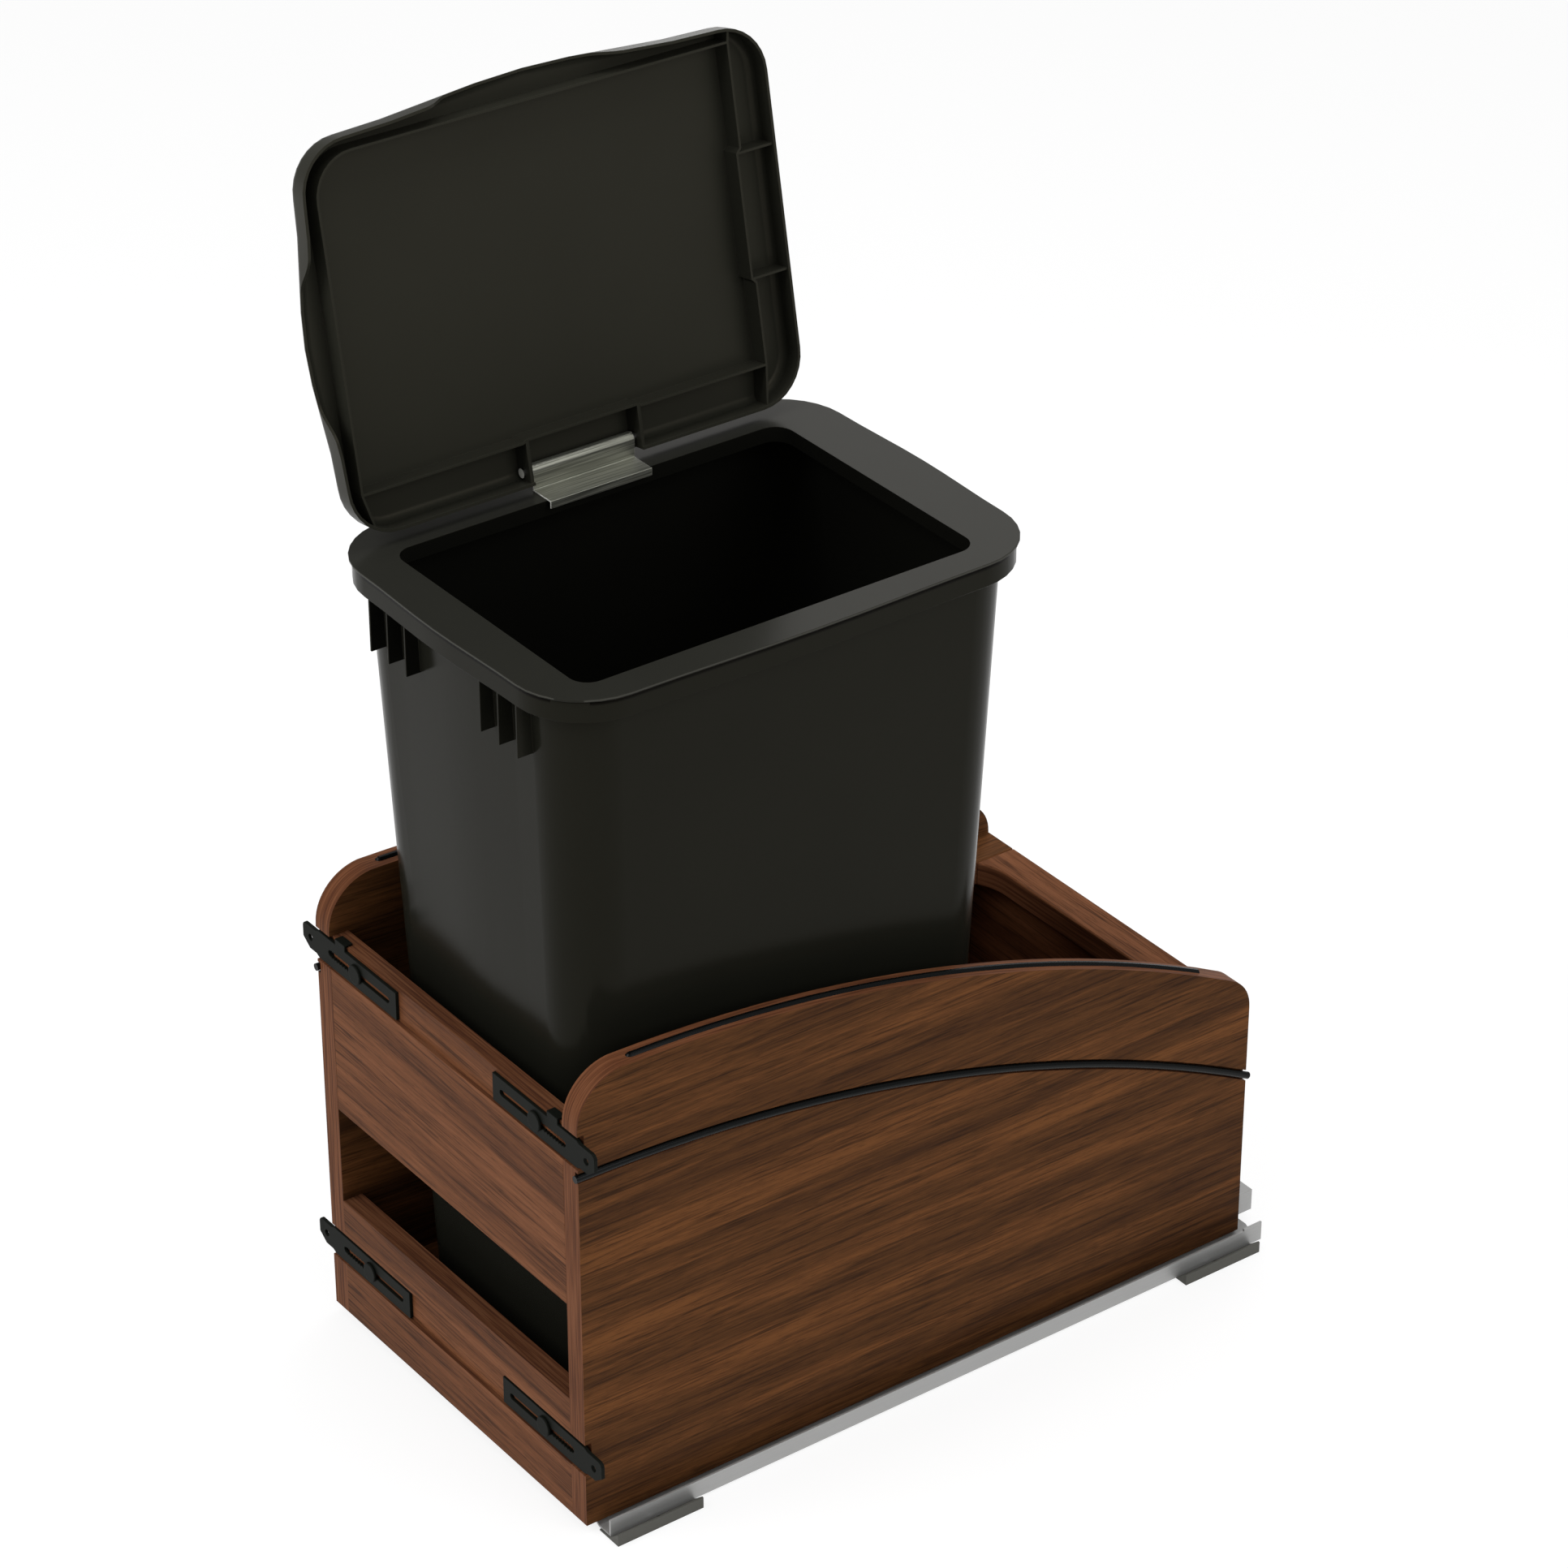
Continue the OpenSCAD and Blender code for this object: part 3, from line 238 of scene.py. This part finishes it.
def bin_painted_light(tree, place, colour):
    """Adds to a colour a painted shadow in the shut line under the collar, a painted highlight along the
    collar's edge over it, and painted shade on the faces inside the bin.
    """
    bin_low, bin_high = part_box("bin")
    middle = (bin_low[1] + bin_high[1]) / 2
    spot = add(tree, "ShaderNodeSeparateXYZ", {"Vector": place}).outputs
    behind = add(tree, "ShaderNodeMath", {0: spot["Y"], 1: middle}, operation="SUBTRACT")

    # The painted shadow and highlight show only in the rim's outer walls, right, left, front and rear
    across = add(tree, "ShaderNodeMath", {0: spot["X"]}, operation="ABSOLUTE")
    along = add(tree, "ShaderNodeMath", {0: behind}, operation="ABSOLUTE")
    side = bin_high[0] - RIM_DEPTH * MM
    end = bin_high[1] - middle - RIM_DEPTH * MM
    at_side = add(tree, "ShaderNodeMath", {0: across, 1: side}, operation="GREATER_THAN")
    at_end = add(tree, "ShaderNodeMath", {0: along, 1: end}, operation="GREATER_THAN")
    outside = add(tree, "ShaderNodeMath", {0: at_side, 1: at_end}, operation="MAXIMUM")

    # A painted shadow in the gap, and over it a painted highlight along the collar's edge
    for rise, half, tint in ((-GAP_SHADOW_DROP, GAP_SHADOW_HALF, "#020202"), (EDGE_HIGHLIGHT_RISE, EDGE_HIGHLIGHT_HALF, "#484843")):
        height = bin_high[2] + rise * MM
        above = add(tree, "ShaderNodeMath", {0: spot["Z"], 1: height}, operation="SUBTRACT")
        away = add(tree, "ShaderNodeMath", {0: above}, operation="ABSOLUTE")
        line = add(tree, "ShaderNodeMapRange", {
            "Value": away, "From Min": 1.5 * half * MM, "From Max": 0.5 * half * MM})
        drawn = add(tree, "ShaderNodeMath", {0: line, 1: outside}, operation="MULTIPLY")
        colour = add(tree, "ShaderNodeMix", {"Factor": drawn, "A": colour, "B": tint}, data_type="RGBA")

    # Faces that look towards the bin's middle are painted darker: painted shade for the dim inside of the
    # bin
    normal = add(tree, "ShaderNodeNewGeometry").outputs["Normal"]
    turned = add(tree, "ShaderNodeSeparateXYZ", {"Vector": normal}).outputs
    sideways = add(tree, "ShaderNodeMath", {0: turned["X"], 1: spot["X"]}, operation="MULTIPLY")
    outwards = add(tree, "ShaderNodeMath", {
        0: turned["Y"], 1: behind, 2: sideways}, operation="MULTIPLY_ADD")
    inner_shade = add(tree, "ShaderNodeMath", {0: outwards, 1: -INNER_REACH * MM}, operation="LESS_THAN")
    return add(tree, "ShaderNodeMix", {"Factor": inner_shade, "A": colour, "B": "#12120f"}, data_type="RGBA")


def moulded(name, code, roughness, depth, shine, grit=0.7, painted_light=None):
    """Plastic from a spark eroded injection mould: a soft, low and slightly warm gloss, faint clouds in
    the colour, and a fine grain. The real grain is about 0.3 mm wide and 0.02 mm deep, too fine to show,
    so it is drawn coarser, with its grit and depth in millimetres."""
    material, tree, place = start(name)
    grain = patches(tree, place, (grit, grit, grit), detail=2.0)
    cloud = patches(tree, place, (90, 90, 90), detail=2.0)
    colour = add(tree, "ShaderNodeMix", {
        "Factor": cloud, "A": shaded(code, 0.9), "B": shaded(code, 1.1)}, data_type="RGBA")
    shader = add(tree, "ShaderNodeBsdfPrincipled", {
        "Base Color": painted_light(tree, place, colour) if painted_light else colour,
        "Roughness": add(tree, "ShaderNodeMapRange", {
            "Value": grain, "To Min": roughness - 0.05, "To Max": roughness + 0.07}),
        "Normal": add(tree, "ShaderNodeBump", {"Strength": 0.25, "Distance": depth * MM, "Height": grain}),
        "IOR": 1.49,
        "Specular IOR Level": shine,
        "Specular Tint": "#fff0d4",
    })
    add(tree, "ShaderNodeOutputMaterial", {"Surface": shader})
    return material


def coated(name, code, roughness, grit, depth, shine):
    """Powder coat on steel, or extruded vinyl: an even colour with a fine orange peel, whose grit and depth
    are in millimetres."""
    material, tree, place = start(name)
    peel = patches(tree, place, (grit, grit, grit), detail=3.0)
    shader = add(tree, "ShaderNodeBsdfPrincipled", {
        "Base Color": add(tree, "ShaderNodeMix", {
            "Factor": peel, "A": shaded(code, 0.85), "B": code}, data_type="RGBA"),
        "Roughness": add(tree, "ShaderNodeMapRange", {
            "Value": peel, "To Min": roughness - 0.06, "To Max": roughness + 0.08}),
        "Normal": add(tree, "ShaderNodeBump", {"Strength": 0.3, "Distance": depth * MM, "Height": peel}),
        "Specular IOR Level": shine,
    })
    add(tree, "ShaderNodeOutputMaterial", {"Surface": shader})
    return material


# Moulded polypropylene of the bin: nearly black, with a clear but weak gloss on its flat walls, and with a
# painted shadow and highlight at the rim and painted shade inside
bin_plastic = moulded(
    "polypropylene_charcoal", "#1d1d18", roughness=0.18, depth=0.086, shine=0.05, painted_light=bin_painted_light)
# Moulded polypropylene of the collar: a shade paler than the bin, painted lighter for the light on its top
# face, with the same painted shadow and highlight at the rim
lit_collar_plastic = moulded(
    "polypropylene_charcoal_collar", "#272723", roughness=0.18, depth=0.086, shine=0.05, painted_light=bin_painted_light)
# Moulded polypropylene of the lid: paler and duller, from a rougher mould
lid_plastic = moulded("polypropylene_charcoal_lid", "#292923", roughness=0.34, depth=0.04, shine=0.11)
# Moulded polyamide of the feet: mid grey and dull, with a finer grain
foot_plastic = moulded("polyamide_grey", "#5c5c58", roughness=0.55, depth=0.05, shine=0.2, grit=0.6)
# Powder coated brackets: black, with hardly any gloss
bracket_coat = coated(
    "powder_coated_steel_black", "#141612", roughness=0.5, grit=0.5, depth=0.03, shine=0.05)
# Extruded vinyl strips and rods: black and smooth, with a soft highlight along them
rod_vinyl = coated("vinyl_black_extruded", "#080a0a", roughness=0.26, grit=0.6, depth=0.004, shine=0.13)


# Steels

def steel(name, code, roughness, spread, metal=1.0, brushed=False, end_highlight=None):
    """Steel with fine lines along Y, faint where it was rolled and clear where it was brushed, and, where
    an end highlight is given, pale non-metal faces at its ends along Y: a painted highlight of the light
    that the ends catch. Real lines are about
    0.1 mm apart, too fine to show, so they are drawn coarser, at the given spread in millimetres."""
    material, tree, place = start(name)
    lines = patches(tree, place, (spread, 60, spread), detail=3.0)
    if brushed:
        lines = add(tree, "ShaderNodeValToRGB", {"Fac": lines}, ((0.36, "#000000"), (0.62, "#ffffff")))
    dark = shaded(code, 0.5 if brushed else 0.86)
    colour = add(tree, "ShaderNodeMix", {"Factor": lines, "A": dark, "B": code}, data_type="RGBA")
    # Faces along Y get the painted end highlight and lose their metal
    if end_highlight:
        ends = facing(tree, "Y")
        colour = add(tree, "ShaderNodeMix", {"Factor": ends, "A": colour, "B": end_highlight}, data_type="RGBA")
        metal = add(tree, "ShaderNodeMapRange", {"Value": ends, "To Min": metal, "To Max": 0.0})
    shader = add(tree, "ShaderNodeBsdfPrincipled", {
        "Base Color": colour,
        "Metallic": metal,
        "Roughness": add(tree, "ShaderNodeMapRange", {
            "Value": lines, "To Min": roughness - 0.08, "To Max": roughness + 0.08}),
        "Normal": add(tree, "ShaderNodeBump", {"Strength": 0.15, "Distance": 0.05 * MM, "Height": lines}),
    })
    add(tree, "ShaderNodeOutputMaterial", {"Surface": shader})
    return material


# Zinc plated slides under a clear passivation: pale grey, half mirror and half milk
slide_zinc = steel("zinc_plated_steel_passivated", "#b8b8b7", roughness=0.5, spread=0.8, metal=0.45)
# Brushed stainless hinge clip: warm grey streaks, and a painted highlight on its pale end faces
clip_steel = steel(
    "stainless_steel_brushed", "#a3a498", roughness=0.42, spread=0.9, metal=0.85, brushed=True,
    end_highlight="#e4e4dc")
# Polished balls and hinge pin: bright, with a painted highlight on their pale end faces
ball_steel = steel("polished_steel", "#d0d0d0", roughness=0.2, spread=0.6, end_highlight="#dcdcd4")


# Pieces

def wear(node, material):
    """Gives its one material to a node that stays as it is."""
    mesh = NODES[node].data
    mesh.materials.clear()
    mesh.materials.append(material)


def body_holding(node):
    """The body that the record puts a node on."""
    for body, members in frame["record"]["behaviour"]["bodies"].items():
        if node in members:
            return body
    raise KeyError(node)


def finished(node, material, radius, shorter=0):
    """A merged copy that stands for a node, with smooth curves, sharp edges and a small edge radius. The
    copy's front end can be set back to make it shorter. Both measures are in millimetres."""
    mesh = NODES[node].data.copy()
    shape = bmesh.new()
    shape.from_mesh(mesh)
    bmesh.ops.remove_doubles(shape, verts=shape.verts, dist=MERGE * MM)
    bmesh.ops.dissolve_limit(shape, angle_limit=math.radians(FLAT), verts=shape.verts, edges=shape.edges)
    for face in shape.faces:
        face.smooth = True
    for line in shape.edges:
        line.smooth = len(line.link_faces) == 2 and line.calc_face_angle(0) < math.radians(SMOOTH)
    if shorter:
        behind_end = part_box(node)[0][1] + FOOT_END * MM
        front_end = [point for point in shape.verts if point.co.y < behind_end]
        bmesh.ops.translate(shape, verts=front_end, vec=(0, shorter * MM, 0))
    shape.to_mesh(mesh)
    shape.free()
    mesh.materials.clear()
    mesh.materials.append(material)
    piece = bpy.data.objects.new(node + "_finished", mesh)
    bpy.context.scene.collection.objects.link(piece)
    rounding = piece.modifiers.new("edge radius", "BEVEL")
    rounding.width = radius * MM
    rounding.segments = RADIUS_STEPS
    rounding.limit_method = "ANGLE"
    rounding.angle_limit = math.radians(ROUNDED)
    flat = piece.modifiers.new("flat faces stay flat", "WEIGHTED_NORMAL")
    flat.keep_sharp = True
    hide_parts(node)
    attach(piece, body_holding(node))


for side, panel_walnut in (("right", side_walnut), ("left", side_walnut_left)):
    finished("side_panel_" + side, panel_walnut, radius=0.7)
    finished("corner_block_" + side, board_walnut, radius=1.2)
    for level in ("upper", "lower"):
        finished(f"door_bracket_{level}_{side}", bracket_coat, radius=0.35)
    finished("edge_rail_" + side, rod_vinyl, radius=0.3)
    wear("side_rod_" + side, rod_vinyl)
    for node in ("cabinet_rail_", "rear_hook_", "drawer_member_", "intermediate_member_"):
        finished(node + side, slide_zinc, radius=0.25)
    for node in ("upper_ball_cage_", "lower_ball_cage_"):
        wear(node + side, ball_steel)
    finished("foot_rear_" + side, foot_plastic, radius=0.4)
finished("foot_front_right", foot_plastic, radius=0.4)
# The left front foot ends behind the panel's corner, where the view shows nothing of it
finished("foot_front_left", foot_plastic, radius=0.4, shorter=FOOT_SHORTER)
finished("upper_front_panel", front_walnut, radius=0.6)
finished("lower_front_panel", front_walnut, radius=0.6)
finished("rear_panel", front_walnut, radius=0.6)
finished("floor_board", board_walnut, radius=0.5)
finished("rear_rail", rail_walnut, radius=1.2)
finished("bracket_screws", bracket_coat, radius=0.3)
wear("member_screws", slide_zinc)
wear("foot_rivets", slide_zinc)
finished("bin", bin_plastic, radius=0.5)
finished("bin_collar", lit_collar_plastic, radius=0.6)
finished("lid", lid_plastic, radius=0.4)
finished("hinge_clip", clip_steel, radius=0.3)
wear("hinge_pin", ball_steel)


# Floor, light and camera

def white_floor(reach=12, below=0.2):
    """Matt paper, reach metres each way, a little below the feet in millimetres. The camera and the
    reflections see it white with the unit's shadow. As a source of light it is plain pale paper."""
    material, tree, _ = start("white_paper_floor")
    matt = add(tree, "ShaderNodeBsdfDiffuse", {"Color": "#8b8b8b"})
    glow = add(tree, "ShaderNodeEmission", {"Color": "#ffffff", "Strength": 0.8})
    white = add(tree, "ShaderNodeAddShader", {0: matt, 1: glow})
    plain = add(tree, "ShaderNodeBsdfDiffuse", {"Color": "#e7e7e7"})
    ray = add(tree, "ShaderNodeLightPath").outputs
    mirrored = add(tree, "ShaderNodeMath", {
        0: ray["Is Glossy Ray"], 1: ray["Is Transmission Ray"]}, operation="MAXIMUM")
    seen = add(tree, "ShaderNodeMath", {0: ray["Is Camera Ray"], 1: mirrored}, operation="MAXIMUM")
    paper = add(tree, "ShaderNodeMixShader", {0: seen, 1: plain, 2: white})
    add(tree, "ShaderNodeOutputMaterial", {"Surface": paper})
    sheet = bmesh.new()
    bmesh.ops.create_grid(sheet, x_segments=1, y_segments=1, size=reach)
    bmesh.ops.translate(sheet, verts=sheet.verts, vec=(0, 0, cad_low[2] - below * MM))
    mesh = bpy.data.meshes.new("floor")
    sheet.to_mesh(mesh)
    sheet.free()
    mesh.materials.append(material)
    floor = bpy.data.objects.new("floor", mesh)
    bpy.context.scene.collection.objects.link(floor)


def studio_world(room_light=0.42):
    """An even grey room that lights the unit, and a white backdrop for the camera alone."""
    world = bpy.data.worlds.new("studio")
    bpy.context.scene.world = world
    world.use_nodes = True
    tree = world.node_tree
    tree.nodes.clear()
    room = add(tree, "ShaderNodeBackground", {"Color": "#ffffff", "Strength": room_light})
    backdrop = add(tree, "ShaderNodeBackground", {"Color": "#ffffff", "Strength": 1.0})
    ray = add(tree, "ShaderNodeLightPath").outputs
    seen = add(tree, "ShaderNodeMath", {
        0: ray["Is Camera Ray"], 1: ray["Is Transmission Ray"]}, operation="MAXIMUM")
    both = add(tree, "ShaderNodeMixShader", {0: seen, 1: room, 2: backdrop})
    add(tree, "ShaderNodeOutputWorld", {"Surface": both})


def softbox(name, place, aim, size, power):
    """A square lamp, size metres wide, that looks from its place at its aim."""
    lamp = bpy.data.lights.new(name, "AREA")
    lamp.shape = "SQUARE"
    lamp.size = size
    lamp.energy = power
    box = bpy.data.objects.new(name, lamp)
    box.location = place
    box.rotation_euler = (Vector(aim) - Vector(place)).to_track_quat("-Z", "Y").to_euler()
    bpy.context.scene.collection.objects.link(box)


def camera(place, azimuth, elevation, tilt, lens, sensor=36, far=50):
    """The photograph's view. Its place, angles and lens were solved from the unit's straight edges."""
    turn, height, roll = math.radians(azimuth), math.radians(elevation), math.radians(tilt)
    level = math.cos(height)
    back = Vector((math.sin(turn) * level, -math.cos(turn) * level, math.sin(height)))
    flat_right = Vector((0, 0, 1)).cross(back).normalized()
    flat_up = back.cross(flat_right)
    right = flat_right * math.cos(roll) + flat_up * math.sin(roll)
    up = flat_up * math.cos(roll) - flat_right * math.sin(roll)
    view = bpy.data.cameras.new("camera")
    view.sensor_width = sensor
    view.lens = lens
    view.clip_end = far
    eye = bpy.data.objects.new("camera", view)
    turned = Matrix((right, up, back)).transposed().to_4x4()
    eye.matrix_world = Matrix.Translation(place) @ turned
    bpy.context.scene.collection.objects.link(eye)
    bpy.context.scene.camera = eye


white_floor()
studio_world()
softbox("key", place=(-0.6, -2.6, 2.6), aim=(0, 0, 0.35), size=1.8, power=52)
softbox("fill", place=(2.8, 0.6, 2.2), aim=(0, 0, 0.3), size=2.0, power=30)
softbox("top", place=(0, 0.3, 3.2), aim=(0, 0, 0.3), size=1.6, power=24)
# A small lamp behind the bin draws the gloss on the rear of the collar's right side
softbox("back", place=(-0.65, 0.66, 1.07), aim=(0.08, 0.16, 0.6), size=0.68, power=2.3)
camera(place=(2.37577, -1.75477, 2.15402), azimuth=53.69, elevation=30.77, tilt=-0.07, lens=119.78)
bpy.context.scene.view_settings.view_transform = "Standard"
